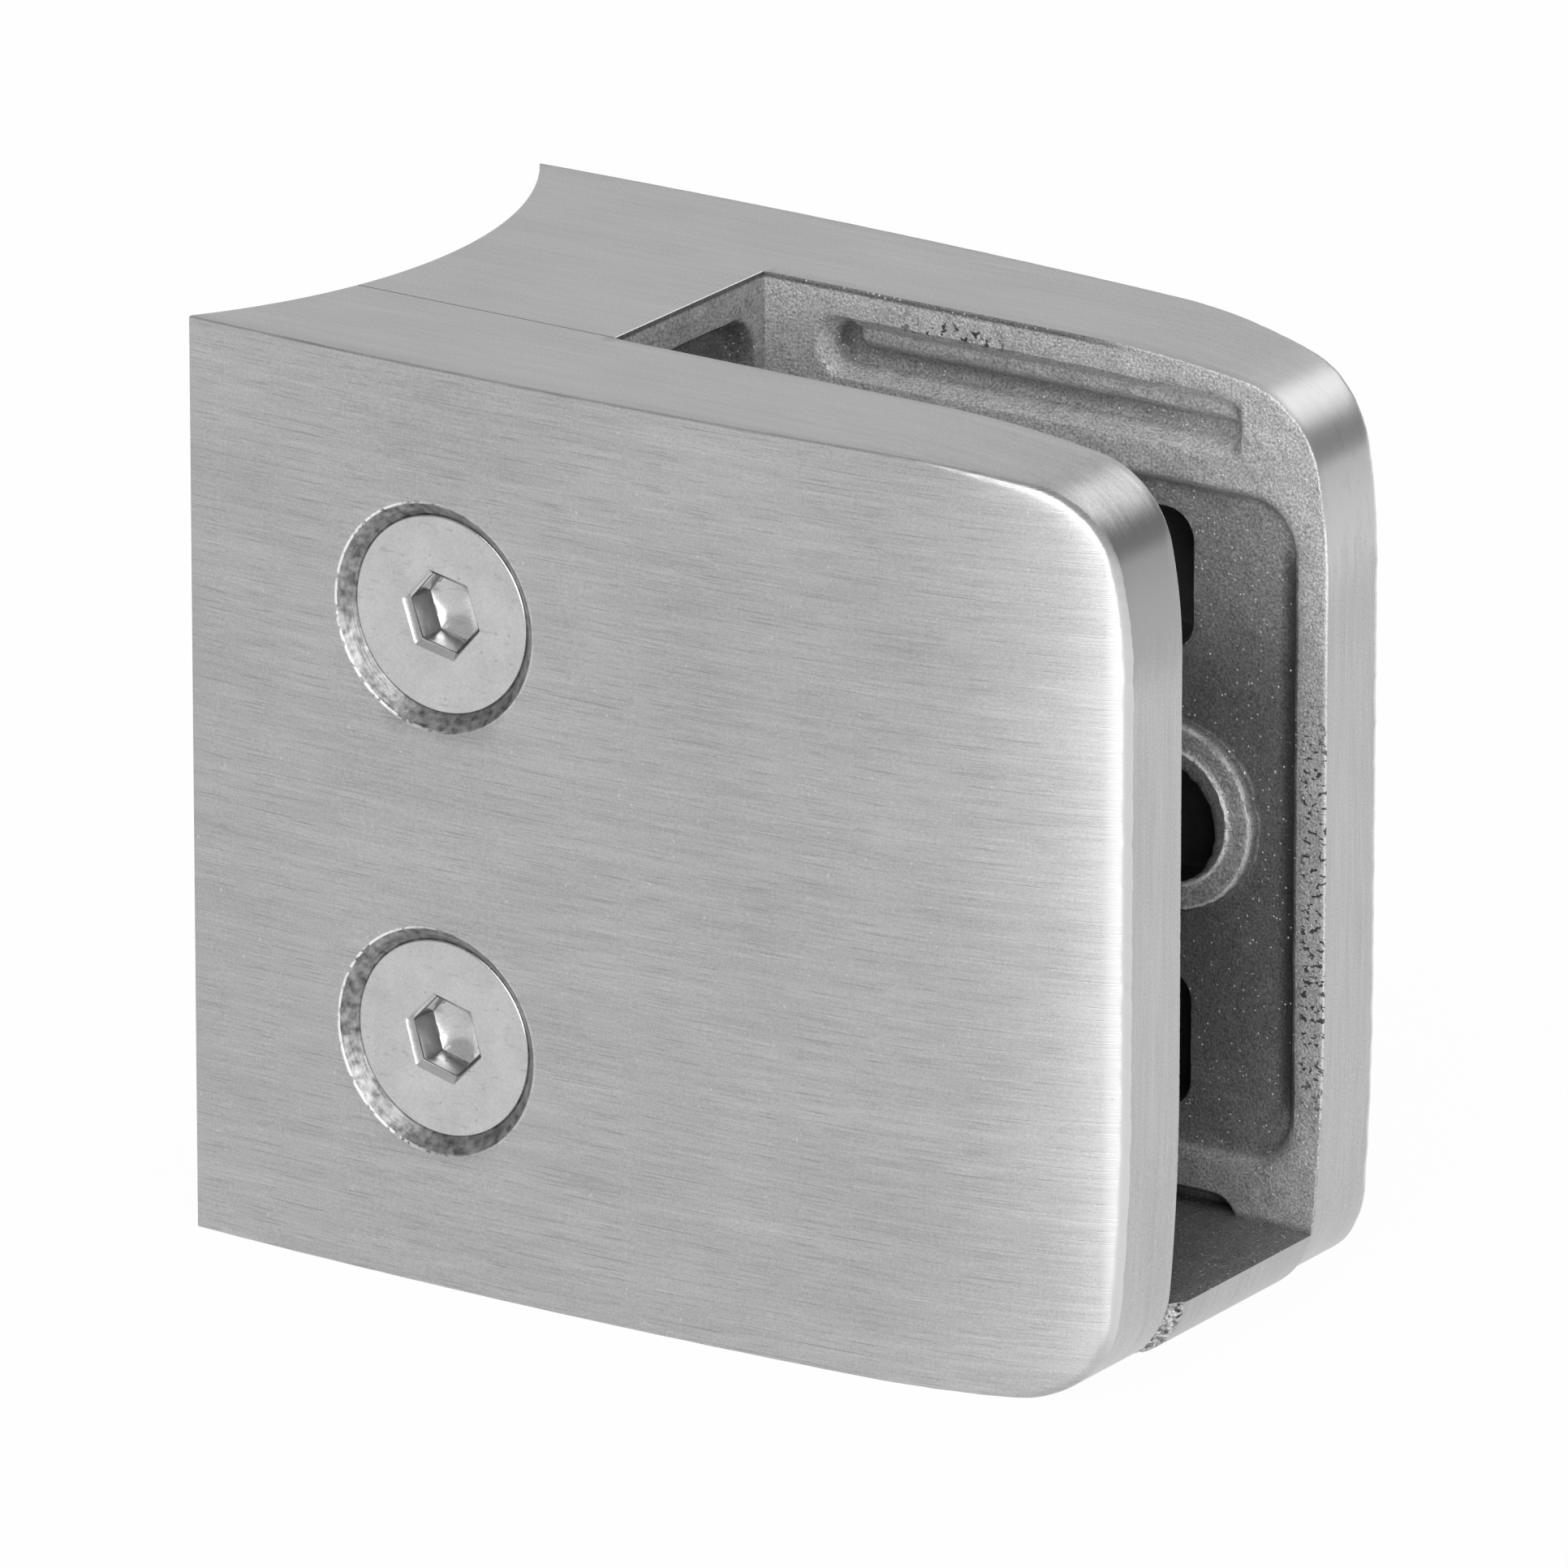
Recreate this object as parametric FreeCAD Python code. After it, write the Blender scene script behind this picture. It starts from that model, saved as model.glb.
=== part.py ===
"""Glass clamp for a round post: a cast body and a screwed cover grip a glass panel between them.

Millimetres. X runs from the post towards the glass, Y across the glass, Z up.
Each piece is drawn with x = 0 at the post side, and is moved at the end so that the origin
lies under the middle of the clamp.
"""
import FreeCAD, Part
import math
import os

VEC = FreeCAD.Vector
ALONG_X = VEC(1, 0, 0)
ALONG_Y = VEC(0, 1, 0)
ALONG_Z = VEC(0, 0, 1)

# Overall form
LENGTH = 60.6
HEIGHT = 55.0
HALF_WIDTH = 17.9
POST_DIAMETER = 60.3
OVERSHOOT = 5.0

# Outer faces: a long gentle belly that rolls in faster towards the front
BELLY_X = 16.0
BELLY_RADIUS = 345.0
NOSE_X = 45.0
NOSE_RADIUS = 58.0

# Side outline: each corner is a front roll, a tight bend and a droop, as (radius, turn in degrees)
UPPER_CORNER = ((31.0, 12.3), (5.8, 69.2), (74.0, 8.5))
LOWER_CORNER = ((150.0, 4.8), (5.9, 82.2), (45.0, 3.0))
LEDGE_CORNER = ((150.0, 4.8), (5.2, 82.2), (45.0, 3.0))
EDGE_BREAK = 0.3

# Glass slot between the cover and the far jaw
SLOT_WIDTH = 15.0
WEB_FRONT = 22.4
LEDGE_TOP = 4.2
LEDGE_BREAK_DEPTH = 0.75
LEDGE_BREAK_FACING = (0.62, -0.72, -0.3)

# Hollow in the front of the web, around the post bolt
WEB_POCKET_DEPTH = 1.6
WEB_POCKET_SIDE_RIM = 1.3
WEB_POCKET_TOP_RIM = 2.7
WEB_POCKET_CORNER = 2.5
POST_BOLT_HOLE = 8.5

# Cored inner face of each jaw, where the rubber lining beds
PANEL_BACK = 25.4
PANEL_FRONT_RIM = 1.9
PANEL_EDGE_RIM = 7.4
PANEL_DEPTH = 1.1
PANEL_CORNER = 3.2
CORE_DRAFT = 0.5
CORE_STRAIGHT = 0.1
GROOVE_BACK = 26.6
GROOVE_FRONT = 55.4
GROOVE_HEIGHT = 3.4
GROOVE_EDGE_RIM = 1.9
GROOVE_DEPTH = 0.9
GROOVE_BED_HEIGHT = 1.7
GROOVE_BED_DEPTH = 0.8
KEY_HOLE_FRONT = 50.7
KEY_HOLE_LENGTH = 5.2
KEY_HOLE_HEIGHT = 7.9
KEY_HOLE_OFFSET = 13.8
KEY_HOLE_CORNER = 1.6
KEY_HOLE_DEPTH = 3.6
PIN_X = 49.8
PIN_HOLE = 7.8
PIN_HOLE_DEPTH = 4.6
PIN_BOSS = 11.8
PIN_BOSS_SINK = 0.25

# Countersunk socket screws that hold the cover
SCREW_X = 17.0
SCREW_SPACING = 25.4
SCREW_LENGTH = 16.0
SCREW_TIP_BREAK = 0.8
THREAD_RADIUS = 2.675
THREAD_CLEARANCE = 0.05
TAPPED_DEPTH = 9.0
SCREW_CLEARANCE_HOLE = 6.6
SINK_DIAMETER = 13.4
HEAD_DIAMETER = 11.7
HEAD_LAND = 0.25
HEAD_SEAT_GAP = 0.05
SOCKET_ACROSS_FLATS = 4.0
SOCKET_MOUTH = 4.75
SOCKET_MOUTH_DEPTH = 0.4
SOCKET_DEPTH = 2.3
SOCKET_TIP_DEPTH = 0.7
UPPER_SOCKET_TURN = 49.0
LOWER_SOCKET_TURN = 46.0

SLOT_HALF = SLOT_WIDTH / 2
MID_HEIGHT = HEIGHT / 2
POST_RADIUS = POST_DIAMETER / 2
THROUGH_Y = HALF_WIDTH + OVERSHOOT


def arc_along(start, heading, radius, turn):
    """Arc that carries on from a point and a heading and bends to the left, in degrees.

    Points and headings lie in a flat drawing plane. Returns the three points of the arc and
    the heading at its end.
    """
    normal = math.radians(heading + 90)
    centre = (start[0] + radius * math.cos(normal), start[1] + radius * math.sin(normal))

    def point(angle):
        around = math.radians(heading - 90 + angle)
        return (centre[0] + radius * math.cos(around), centre[1] + radius * math.sin(around))

    return [start, point(turn / 2), point(turn)], heading + turn


def corner_arcs(bends):
    """Arcs of an upper corner, from the upright front up to the level top of the clamp."""
    point = (LENGTH, 0.0)
    heading = 90
    arcs = []
    for radius, turn in bends:
        points, heading = arc_along(point, heading, radius, turn)
        arcs.append(points)
        point = points[-1]
    rise = HEIGHT - point[1]
    return [[(x, z + rise) for x, z in arc] for arc in arcs]


def side_face(lower_corner):
    """Side outline in the XZ plane, with the jaws' upper corner and a lower corner."""

    def upper(at):
        return VEC(at[0], 0, at[1])

    def lower(at):
        return VEC(at[0], 0, HEIGHT - at[1])

    edges = []
    fronts = []
    post_side = (-OVERSHOOT, HEIGHT)
    for place, bends in ((upper, UPPER_CORNER), (lower, lower_corner)):
        arcs = corner_arcs(bends)
        edges += [Part.Arc(*[place(at) for at in arc]).toShape() for arc in arcs]
        edges.append(Part.makeLine(place(arcs[-1][-1]), place(post_side)))
        fronts.append(place(arcs[0][0]))
    edges.append(Part.makeLine(upper(post_side), lower(post_side)))
    edges.append(Part.makeLine(*fronts))
    return Part.Face(Part.Wire(Part.__sortEdges__(edges)))


def belly_half_width(x):
    """Half width of the belly arc at x."""
    return HALF_WIDTH - BELLY_RADIUS + math.sqrt(BELLY_RADIUS**2 - (x - BELLY_X) ** 2)


def nose_points():
    """Three points of the nose arc, which carries on from the belly arc and ends at the front."""
    lean = math.asin((NOSE_X - BELLY_X) / BELLY_RADIUS)
    centre_x = NOSE_X - NOSE_RADIUS * math.sin(lean)
    centre_y = belly_half_width(NOSE_X) - NOSE_RADIUS * math.cos(lean)

    def at(x):
        return (x, centre_y + math.sqrt(NOSE_RADIUS**2 - (x - centre_x) ** 2))

    return [at(NOSE_X), at((NOSE_X + LENGTH) / 2), at(LENGTH)]


def plan_face():
    """Outline of the clamp seen from above, between its two outer faces."""
    belly = [(x, belly_half_width(x)) for x in (-OVERSHOOT, BELLY_X, NOSE_X)]
    nose = nose_points()
    edges = []
    for side in (1, -1):
        for arc in (belly, nose):
            edges.append(Part.Arc(*[VEC(x, side * y, 0) for x, y in arc]).toShape())
    for x, y in (belly[0], nose[-1]):
        edges.append(Part.makeLine(VEC(x, y, 0), VEC(x, -y, 0)))
    return Part.Face(Part.Wire(Part.__sortEdges__(edges)))


def block(x_range, y_range, z_range):
    """Straight box between two values on each axis."""
    size = [high - low for low, high in (x_range, y_range, z_range)]
    return Part.makeBox(*size, VEC(x_range[0], y_range[0], z_range[0]))


def clamp_blank():
    """Both jaws and the web as one block with its outer form, before any hollow is cut."""
    plan = plan_face().extrude(ALONG_Z * HEIGHT)
    side = side_face(LOWER_CORNER)
    side.translate(-ALONG_Y * THROUGH_Y)
    blank = plan.common(side.extrude(ALONG_Y * 2 * THROUGH_Y))

    post_x = -math.sqrt(POST_RADIUS**2 - belly_half_width(0) ** 2)
    post = Part.makeCylinder(POST_RADIUS, HEIGHT, VEC(post_x, 0, 0))
    blank = blank.cut(post)

    def is_outer_rim(edge):
        """An edge between an outer face and the rim, so neither upright nor along Y."""
        box = edge.BoundBox
        beyond_slot = min(abs(box.YMin), abs(box.YMax)) > SLOT_HALF and box.YMin * box.YMax > 0
        return beyond_slot and box.XMax > BELLY_X - OVERSHOOT

    return blank.makeChamfer(EDGE_BREAK, [edge for edge in blank.Edges if is_outer_rim(edge)])


def ledge():
    """Floor of the glass slot, cast in one with the far jaw and a little fuller at its corner."""
    side = side_face(LEDGE_CORNER)
    side.translate(-ALONG_Y * SLOT_HALF)
    full = side.extrude(ALONG_Y * SLOT_WIDTH)
    floor = full.common(
        block((WEB_FRONT, LENGTH + OVERSHOOT), (-SLOT_HALF, SLOT_HALF), (0, LEDGE_TOP))
    )
    facing = VEC(*LEDGE_BREAK_FACING).normalize()
    tip = VEC(LENGTH, -SLOT_HALF, LEDGE_TOP / 2)
    reach = 2 * LEDGE_TOP
    broken_off = block((-LEDGE_BREAK_DEPTH, reach), (-reach, reach), (-reach, reach))
    broken_off.Placement = FreeCAD.Placement(
        tip, FreeCAD.Rotation(ALONG_X, facing)
    ).multiply(broken_off.Placement)
    return floor.cut(broken_off)


def rounded_rectangle(width, height, corner):
    """Wire of a rounded rectangle in the XZ plane, centred on the origin.

    The corners shrink where they must, so that a short straight piece is left on every side.
    """
    half_w = width / 2
    half_h = height / 2
    corner = min(corner, (min(width, height) - CORE_STRAIGHT) / 2)
    edges = []
    for quarter, (sx, sz) in enumerate(((1, 1), (-1, 1), (-1, -1), (1, -1))):
        centre = (sx * (half_w - corner), sz * (half_h - corner))
        start = math.radians(90 * quarter)
        arc = [
            VEC(centre[0] + corner * math.cos(a), 0, centre[1] + corner * math.sin(a))
            for a in (start, start + math.pi / 4, start + math.pi / 2)
        ]
        edges.append(Part.Arc(*arc).toShape())
    count = len(edges)
    for index in range(count):
        leave = edges[index].lastVertex().Point
        arrive = edges[(index + 1) % count].firstVertex().Point
        edges.append(Part.makeLine(leave, arrive))
    return Part.Wire(Part.__sortEdges__(edges))


def core_hollow(x_range, z_range, corner, depth, draft):
    """Cored hollow that sinks from the plane y = 0 towards +Y, with sloping cast walls."""
    width = x_range[1] - x_range[0]
    height = z_range[1] - z_range[0]
    mouth = rounded_rectangle(width, height, corner)
    floor = rounded_rectangle(width - 2 * draft, height - 2 * draft, corner - draft)
    floor.translate(ALONG_Y * depth)
    hollow = Part.makeLoft([mouth, floor], True, True)
    hollow.translate(VEC(sum(x_range) / 2, 0, sum(z_range) / 2))
    return hollow


def jaw_core():
    """Everything that the casting core leaves out of a jaw's inner face, from y = 0 to +Y.

    A wide shallow panel for the rubber lining, a stepped groove above and below it, two deep
    key holes for the lining's pegs, and a blind pin hole inside a raised boss.
    """
    panel = core_hollow(
        (PANEL_BACK, LENGTH - PANEL_FRONT_RIM),
        (PANEL_EDGE_RIM, HEIGHT - PANEL_EDGE_RIM),
        PANEL_CORNER,
        PANEL_DEPTH,
        CORE_DRAFT,
    )
    boss = Part.makeCone(
        PIN_BOSS / 2 + PANEL_DEPTH - PIN_BOSS_SINK,
        PIN_BOSS / 2,
        PANEL_DEPTH - PIN_BOSS_SINK,
        VEC(PIN_X, PANEL_DEPTH, MID_HEIGHT),
        -ALONG_Y,
    )
    core = panel.cut(boss)
    pin = Part.makeCylinder(PIN_HOLE / 2, PIN_HOLE_DEPTH, VEC(PIN_X, 0, MID_HEIGHT), ALONG_Y)
    core = core.fuse(pin)

    outer = GROOVE_EDGE_RIM
    inner = outer + GROOVE_HEIGHT
    bed = inner - CORE_DRAFT - GROOVE_BED_HEIGHT
    for side in (-1, 1):
        edge = MID_HEIGHT + side * MID_HEIGHT

        def span(low, high):
            return sorted((edge - side * low, edge - side * high))

        groove = core_hollow(
            (GROOVE_BACK, GROOVE_FRONT),
            span(outer, inner),
            GROOVE_HEIGHT / 2,
            GROOVE_DEPTH,
            CORE_DRAFT,
        )
        deep = core_hollow(
            (GROOVE_BACK + CORE_DRAFT, GROOVE_FRONT - CORE_DRAFT),
            span(bed, inner - CORE_DRAFT),
            GROOVE_BED_HEIGHT / 2,
            GROOVE_DEPTH + GROOVE_BED_DEPTH,
            0.0,
        )
        middle = MID_HEIGHT + side * KEY_HOLE_OFFSET
        key_hole = core_hollow(
            (KEY_HOLE_FRONT - KEY_HOLE_LENGTH, KEY_HOLE_FRONT),
            (middle - KEY_HOLE_HEIGHT / 2, middle + KEY_HOLE_HEIGHT / 2),
            KEY_HOLE_CORNER,
            PANEL_DEPTH + KEY_HOLE_DEPTH,
            0.0,
        )
        core = core.fuse([groove, deep, key_hole])
    return core


def screw_places():
    """Height of each screw's axis and the turn of its socket, by node name."""
    return {
        "upper_screw": (MID_HEIGHT + SCREW_SPACING / 2, UPPER_SOCKET_TURN),
        "lower_screw": (MID_HEIGHT - SCREW_SPACING / 2, LOWER_SOCKET_TURN),
    }


def base_body():
    """Cast body: the web that bolts to the post, the far jaw and the ledge under the glass."""
    body = clamp_blank().cut(
        block((-OVERSHOOT, LENGTH + OVERSHOOT), (-THROUGH_Y, -SLOT_HALF), (0, HEIGHT))
    )
    body = body.cut(block((WEB_FRONT, LENGTH + OVERSHOOT), (-SLOT_HALF, SLOT_HALF), (0, HEIGHT)))
    body = body.fuse(ledge())

    core = jaw_core()
    core.translate(ALONG_Y * SLOT_HALF)
    body = body.cut(core)

    pocket_floor = WEB_FRONT - WEB_POCKET_DEPTH
    pocket_z = (LEDGE_TOP + WEB_POCKET_TOP_RIM, HEIGHT - WEB_POCKET_TOP_RIM)
    pocket_width = SLOT_WIDTH - 2 * WEB_POCKET_SIDE_RIM
    pocket = core_hollow(
        (-pocket_width / 2, pocket_width / 2),
        pocket_z,
        WEB_POCKET_CORNER,
        WEB_POCKET_DEPTH,
        CORE_DRAFT,
    )
    pocket.rotate(VEC(0, 0, 0), ALONG_Z, 90)
    pocket.translate(ALONG_X * WEB_FRONT)
    bolt_hole = Part.makeCylinder(
        POST_BOLT_HOLE / 2, pocket_floor + OVERSHOOT, VEC(0, 0, MID_HEIGHT), ALONG_X
    )
    tapped = [
        Part.makeCylinder(
            THREAD_RADIUS + THREAD_CLEARANCE,
            TAPPED_DEPTH,
            VEC(SCREW_X, -SLOT_HALF, height),
            ALONG_Y,
        )
        for height, _ in screw_places().values()
    ]
    return body.cut([pocket, bolt_hole] + tapped)


def cover_plate():
    """Cast cover: the near jaw, with a countersunk hole for each screw."""
    plate = clamp_blank().common(
        block((-OVERSHOOT, LENGTH + OVERSHOOT), (-THROUGH_Y, -SLOT_HALF), (0, HEIGHT))
    )
    core = jaw_core().mirror(VEC(0, 0, 0), ALONG_Y)
    core.translate(-ALONG_Y * SLOT_HALF)
    face_y = -belly_half_width(SCREW_X)
    sink_radius = SINK_DIAMETER / 2
    hole_radius = SCREW_CLEARANCE_HOLE / 2
    profile = [
        (0, -OVERSHOOT),
        (sink_radius + OVERSHOOT, -OVERSHOOT),
        (hole_radius, sink_radius - hole_radius),
        (hole_radius, THROUGH_Y),
        (0, THROUGH_Y),
        (0, -OVERSHOOT),
    ]
    holes = []
    for height, _ in screw_places().values():
        place = VEC(SCREW_X, face_y, height)
        points = [place + VEC(radius, depth, 0) for radius, depth in profile]
        holes.append(Part.Face(Part.makePolygon(points)).revolve(place, ALONG_Y, 360))
    return plate.cut([core] + holes)


def hexagon(across_flats, depth):
    """Hexagon wire around the Y axis at a depth along it."""
    corner = across_flats / math.sqrt(3)
    points = [
        VEC(corner * math.cos(math.pi * k / 3), depth, corner * math.sin(math.pi * k / 3))
        for k in range(7)
    ]
    return Part.makePolygon(points)


def screw(height, socket_turn):
    """Countersunk socket screw whose head faces -Y, with its thread at the pitch radius."""
    head_radius = HEAD_DIAMETER / 2
    neck_depth = HEAD_LAND + head_radius - THREAD_RADIUS
    profile = [
        (0, 0),
        (head_radius, 0),
        (head_radius, HEAD_LAND),
        (THREAD_RADIUS, neck_depth),
        (THREAD_RADIUS, SCREW_LENGTH - SCREW_TIP_BREAK),
        (THREAD_RADIUS - SCREW_TIP_BREAK, SCREW_LENGTH),
        (0, SCREW_LENGTH),
        (0, 0),
    ]
    points = [VEC(radius, depth, 0) for radius, depth in profile]
    body = Part.Face(Part.makePolygon(points)).revolve(VEC(0, 0, 0), ALONG_Y, 360)

    mouth = Part.makeLoft(
        [hexagon(SOCKET_MOUTH, 0), hexagon(SOCKET_ACROSS_FLATS, SOCKET_MOUTH_DEPTH)], True, True
    )
    walls = Part.Face(hexagon(SOCKET_ACROSS_FLATS, 0)).extrude(ALONG_Y * SOCKET_DEPTH)
    tip = Part.makeCone(
        SOCKET_ACROSS_FLATS / 2, 0, SOCKET_TIP_DEPTH, ALONG_Y * SOCKET_DEPTH, ALONG_Y
    )
    body = body.cut([mouth, walls, tip])
    body.rotate(VEC(0, 0, 0), ALONG_Y, -socket_turn)

    sink_depth = SINK_DIAMETER / 2 - head_radius
    seat_depth = sink_depth - HEAD_LAND - HEAD_SEAT_GAP * math.sqrt(2)
    body.translate(VEC(SCREW_X, seat_depth - belly_half_width(SCREW_X), height))
    return body


def main():
    nodes = {"base_body": base_body(), "cover_plate": cover_plate()}
    for name, (height, socket_turn) in screw_places().items():
        nodes[name] = screw(height, socket_turn)
    os.makedirs("parts", exist_ok=True)
    for name, shape in nodes.items():
        shape = shape.removeSplitter() if name in ("base_body", "cover_plate") else shape
        shape.translate(-ALONG_X * LENGTH / 2)
        solids = shape.Solids
        if len(solids) != 1 or not shape.isValid():
            raise RuntimeError(f"{name}: {len(solids)} solids, valid {shape.isValid()}")
        solids[0].exportStep(f"parts/{name}.step")
        print(f"{name}: {shape.Volume / 1000:.2f} cm3, {len(shape.Faces)} faces")


main()
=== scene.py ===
import math

import bmesh
import bpy
import numpy as np
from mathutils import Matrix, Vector


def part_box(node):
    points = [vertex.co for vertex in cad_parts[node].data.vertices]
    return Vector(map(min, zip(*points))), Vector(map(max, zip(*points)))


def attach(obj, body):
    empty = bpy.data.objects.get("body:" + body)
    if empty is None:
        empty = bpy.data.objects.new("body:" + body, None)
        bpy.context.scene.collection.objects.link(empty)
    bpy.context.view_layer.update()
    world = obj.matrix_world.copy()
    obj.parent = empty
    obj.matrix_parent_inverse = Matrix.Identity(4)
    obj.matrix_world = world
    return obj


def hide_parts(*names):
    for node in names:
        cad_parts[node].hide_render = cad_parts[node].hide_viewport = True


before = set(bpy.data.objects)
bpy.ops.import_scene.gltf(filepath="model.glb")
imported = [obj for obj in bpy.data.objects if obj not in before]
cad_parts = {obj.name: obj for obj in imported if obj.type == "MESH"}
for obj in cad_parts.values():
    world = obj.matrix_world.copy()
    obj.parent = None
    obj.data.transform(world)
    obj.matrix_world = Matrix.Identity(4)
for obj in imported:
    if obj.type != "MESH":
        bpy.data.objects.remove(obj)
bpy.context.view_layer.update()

# Cast body. One steel casting: the web that bolts to the post, the far jaw and the ledge under the
# glass. Cast in a ceramic shell around a core, shot blasted, then belt brushed on its outer faces.
# Its shape is drawn in millimetres from the post side, and goes into the frame when it is put in.
LENGTH = 60.6
HEIGHT = 55.0
MIDDLE = HEIGHT / 2
SLOT_HALF = 7.5
WEB_FRONT = 22.4
LEDGE_TOP = 4.2
POST_RADIUS = 30.15
POST_X = -24.53
SADDLE_REACH = 12.0
UPPER_CORNER = ((31.0, 12.3), (5.8, 69.2), (74.0, 8.5))
LOWER_CORNER = ((150.0, 4.8), (5.9, 82.2), (45.0, 3.0))
LEDGE_CORNER = ((150.0, 4.8), (5.2, 82.2), (45.0, 3.0))
BELLY = (17.9, 16.0, 345.0)
NOSE = (45.0, 58.0)
NO_EDGE = 99.0
PIN_X = 49.75
PIN_HEIGHT = MIDDLE - 0.12
KEY_HOLE_X, KEY_HOLE_RISE = 48.1, 13.8
SCREW_X = 17.0
SCREW_HEIGHTS = (40.2, 14.8)
PANEL, PANEL_DEPTH = (25.4, 58.65, 7.2, 47.8), 1.1
GROOVE, GROOVE_DEPTH = (26.0, 54.9, 49.5, 53.3), 1.65
SHELF, SHELF_RISE = (27.9, 58.0, 51.0, 54.6), 0.75
RINGS = np.array([
    0, 0.02, 0.05, 0.09, 0.14, 0.2, 0.28, 0.38, 0.5, 0.65, 0.85, 1.1, 1.4, 1.75, 2.15, 2.5
])


def way(degrees):
    """Unit vectors at angles in the XZ plane."""
    return np.stack([np.cos(np.radians(degrees)), np.sin(np.radians(degrees))], -1)


def half_outline(bends, top_x):
    """Upper half of a jaw's side outline, from the post side to the middle of the front.

    The bends are (radius, turn) of the front roll, the tight corner and the droop. Each arc is
    its centre + radius * (cos a, sin a), and starts where the last one ended. Gives the points,
    the way the rim faces at each, and the number of the point in the middle of the corner.
    """
    (front_radius, front_turn), (corner_radius, _), (droop_radius, droop_turn) = bends
    droop = 90 - droop_turn
    front_at = np.array([LENGTH - front_radius, 0.0])
    corner_at = front_at + (front_radius - corner_radius) * way(front_turn)
    droop_at = corner_at + (corner_radius - droop_radius) * way(droop)
    shift = np.array([0.0, HEIGHT - droop_radius - droop_at[1]])
    front_at, corner_at, droop_at = front_at + shift, corner_at + shift, droop_at + shift

    lean = np.degrees(np.arcsin(np.clip((top_x - droop_at[0]) / droop_radius, 0, 1)))
    top = np.stack([top_x, droop_at[1] + droop_radius * way(90 - lean)[:, 1]], -1)
    corner_middle = (droop + front_turn) / 2
    first = np.linspace(droop, corner_middle, 13)
    second = np.linspace(corner_middle, front_turn, 13)[1:]
    roll = np.linspace(front_turn, 0, 26)[1:]
    front_z = np.linspace(front_at[1], MIDDLE, 50)[1:]
    front = np.stack([np.full_like(front_z, LENGTH), front_z], -1)
    points = [top, corner_at + corner_radius * way(np.r_[first, second])]
    points += [front_at + front_radius * way(roll), front]
    faces = way(np.r_[90 - lean, first, second, roll, 0 * front_z])
    return np.concatenate(points), faces, len(top_x) + len(first) - 1


def jaw_outline(lower_bends, top_x):
    """Whole side outline: the upper half, then the lower one mirrored at half height."""
    upper, upper_faces, corner_index = half_outline(UPPER_CORNER, top_x)
    lower, lower_faces, _ = half_outline(lower_bends, top_x)
    flip = np.array([1.0, -1.0])
    points = np.concatenate([upper, lower[-2::-1] * flip + (0, HEIGHT)])
    return points, np.concatenate([upper_faces, lower_faces[-2::-1] * flip]), corner_index


def squeeze(values, start, end):
    """Values up to start as they are, and the rest drawn in evenly so that the largest is end."""
    beyond = (values - start) * (end - start) / (values.max() - start)
    return np.where(values > start, start + beyond, values)


def face_net(points, faces, corner):
    """Net of a jaw's side face in the XZ plane: rings parallel to the rim, then a straight grid.

    A ring is the outline moved inwards by its distance. From the last one, straight blends lead
    to the border of the grid, whose corner lies inside the rounded corner of the outline.
    """
    last = len(points) - 1
    grid_x = squeeze(points[: corner + 1, 0], 50.0, 55.6)
    rows = points[corner : last - corner + 1, 1] - MIDDLE
    grid_z = MIDDLE + np.sign(rows) * squeeze(abs(rows), 17.5, 22.4)
    grid = np.stack(np.meshgrid(grid_x, grid_z, indexing="ij"), -1)
    border = np.concatenate([grid[:, 0], grid[-1, 1:-1], grid[::-1, -1]])
    rings = points - faces * RINGS[:, None, None]
    share = np.linspace(0, 1, 10)[1:, None, None]
    strip = np.concatenate([rings, rings[-1] * (1 - share) + border * share])
    return strip, grid


def column(strip, grid, index):
    """One upright line of a face net, from the top rim through the grid to the bottom rim."""
    return np.concatenate([strip[:, index], grid[index, 1:], strip[-2::-1, strip.shape[1] - 1 - index]])


def half_width(x):
    """Half width at x: a belly arc, and a smaller nose arc that carries on from it."""
    top, belly_x, belly_radius = BELLY
    nose_x, nose_radius = NOSE
    belly = top - belly_radius + np.sqrt(belly_radius**2 - (x - belly_x) ** 2)
    lean = (nose_x - belly_x) / belly_radius
    centre_x = nose_x - nose_radius * lean
    centre_y = top - belly_radius + (belly_radius - nose_radius) * math.sqrt(1 - lean**2)
    nose = centre_y + np.sqrt(np.maximum(nose_radius**2 - (x - centre_x) ** 2, 0))
    return np.where(x > nose_x, nose, belly)


def ripples(a, b, wave, seed):
    """Uneven skin, about -1 to 1: a sum of nine sine waves in seeded directions, near one length."""
    total = np.zeros_like(a)
    for turn, phase, stretch in np.random.default_rng(seed).uniform(0, 1, (9, 3)):
        beat = math.tau / (wave * (0.6 + 0.9 * stretch))
        along = a * math.cos(math.tau * turn) + b * math.sin(math.tau * turn)
        total += np.sin(beat * along + math.tau * phase)
    return total / 4


def rounding(distance, radius):
    """How far a quarter round of a radius draws a face in, at a distance from its edge."""
    gap = np.clip(radius - distance, 0, radius)
    return radius - np.sqrt(radius**2 - gap**2)


def ease(value):
    """Smooth step from 0 to 1."""
    value = np.clip(value, 0, 1)
    return value * value * (3 - 2 * value)


def rim_wear(points):
    """Radius and softness of the outer edge: nearly sharp on top, rounder round the front."""
    front = ease((points[:, 0] - 46.0) / 11.0)
    run = np.r_[0, np.cumsum(np.linalg.norm(np.diff(points, axis=0), axis=1))]
    uneven = 1 + 0.12 * ripples(run, run * 0, 2.6, 3) + 0.1 * ripples(run, run * 0, 0.9, 4)
    radius = (0.13 + 0.32 * front) * np.clip(uneven, 0.6, 1.4)
    return radius, 0.16 * front


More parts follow.
